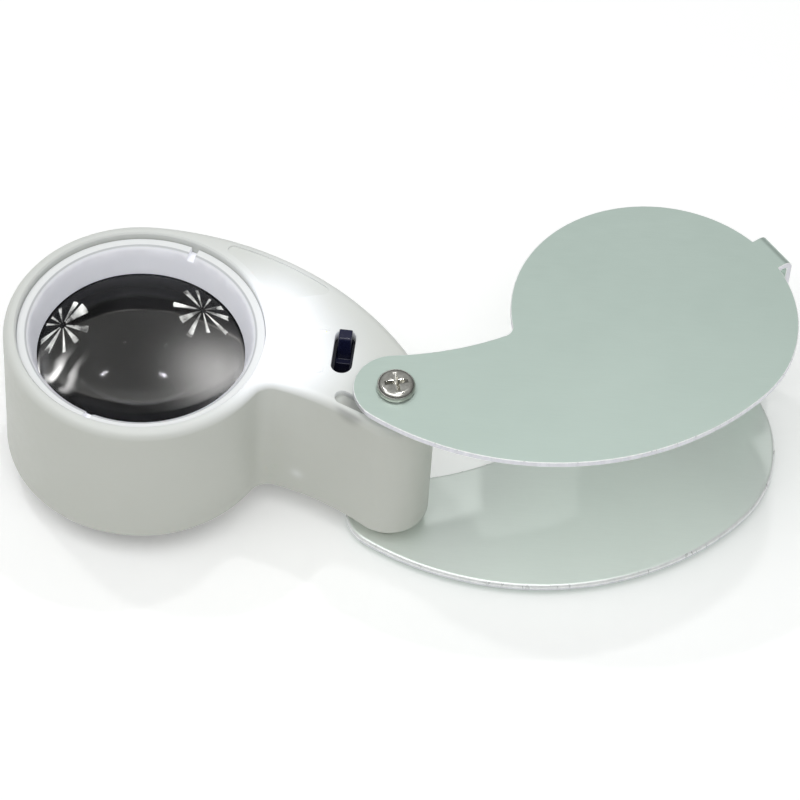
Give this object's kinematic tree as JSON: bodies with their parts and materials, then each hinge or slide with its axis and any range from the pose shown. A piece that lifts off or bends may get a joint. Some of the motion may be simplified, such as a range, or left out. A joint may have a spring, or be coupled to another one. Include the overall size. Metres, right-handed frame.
{
  "type": "folding hand lens",
  "caption": "Folding hand lens: a comma-shaped white body with a round lens, lamps and a slide switch, hinged in a bent two-leaf metal cover.",
  "frame": {"origin": "centre of the specimen-side opening, on the optical axis, in the plane of the body's underside", "axes": "+Z along the optical axis towards the eye and parallel to the hinge; +X from the optical axis to the hinge axis"},
  "size_m": [0.1015, 0.0616, 0.0306],
  "materials": {
    "white_body": "satin moulded ABS",
    "white_base": "satin moulded ABS",
    "white_ring": "satin moulded, slightly translucent",
    "black_barrel": "matt black, against glare",
    "lens_glass": "polished",
    "led_epoxy": "clear moulded, lit white",
    "circuit_board": "solder mask",
    "switch_black": "moulded",
    "switch_knob": "moulded, very dark navy",
    "cell_steel": "nickel plated",
    "contact_metal": "nickel-plated spring brass",
    "wire_insulation": "PVC insulation",
    "screw_nickel": "nickel plated",
    "insert_brass": "machined",
    "spacer_nylon": "natural nylon",
    "cover_aluminium": "satin, faint brushed grain, bright cut edges"
  },
  "bodies": {
    "loupe_body": {"body_shell": "white_body", "base_cover": "white_base", "battery_door": "white_base", "lens_barrel": "black_barrel", "lower_lens": "lens_glass", "lens_spacer": "black_barrel", "upper_lens": "lens_glass", "retaining_ring": "white_ring", "led_near": "led_epoxy", "led_far": "led_epoxy", "led_board": "circuit_board", "switch_case": "switch_black", "cell_1": "cell_steel", "cell_2": "cell_steel", "cell_3": "cell_steel", "positive_contact": "contact_metal", "negative_contact": "contact_metal", "led_wire": "wire_insulation", "battery_wire": "wire_insulation", "door_screw": "screw_nickel", "base_screws": "screw_nickel", "lower_insert": "insert_brass", "upper_insert": "insert_brass", "lower_spacer": "spacer_nylon", "upper_spacer": "spacer_nylon", "upper_pivot_screw": "screw_nickel", "lower_pivot_screw": "screw_nickel"},
    "cover": {"cover": "cover_aluminium"},
    "switch_lever": {"switch_lever": "switch_knob"}
  },
  "joints": [
    {"name": "cover_hinge", "type": "hinge", "parent": "loupe_body", "child": "cover", "pos_m": [0.0356, 0, 0.0106], "axis": [0, 0, 1], "continuous": true},
    {"name": "switch_slide", "type": "slide", "parent": "loupe_body", "child": "switch_lever", "axis": [0.2079, -0.9781, 0], "range_m": [0, 0.004]}
  ]
}
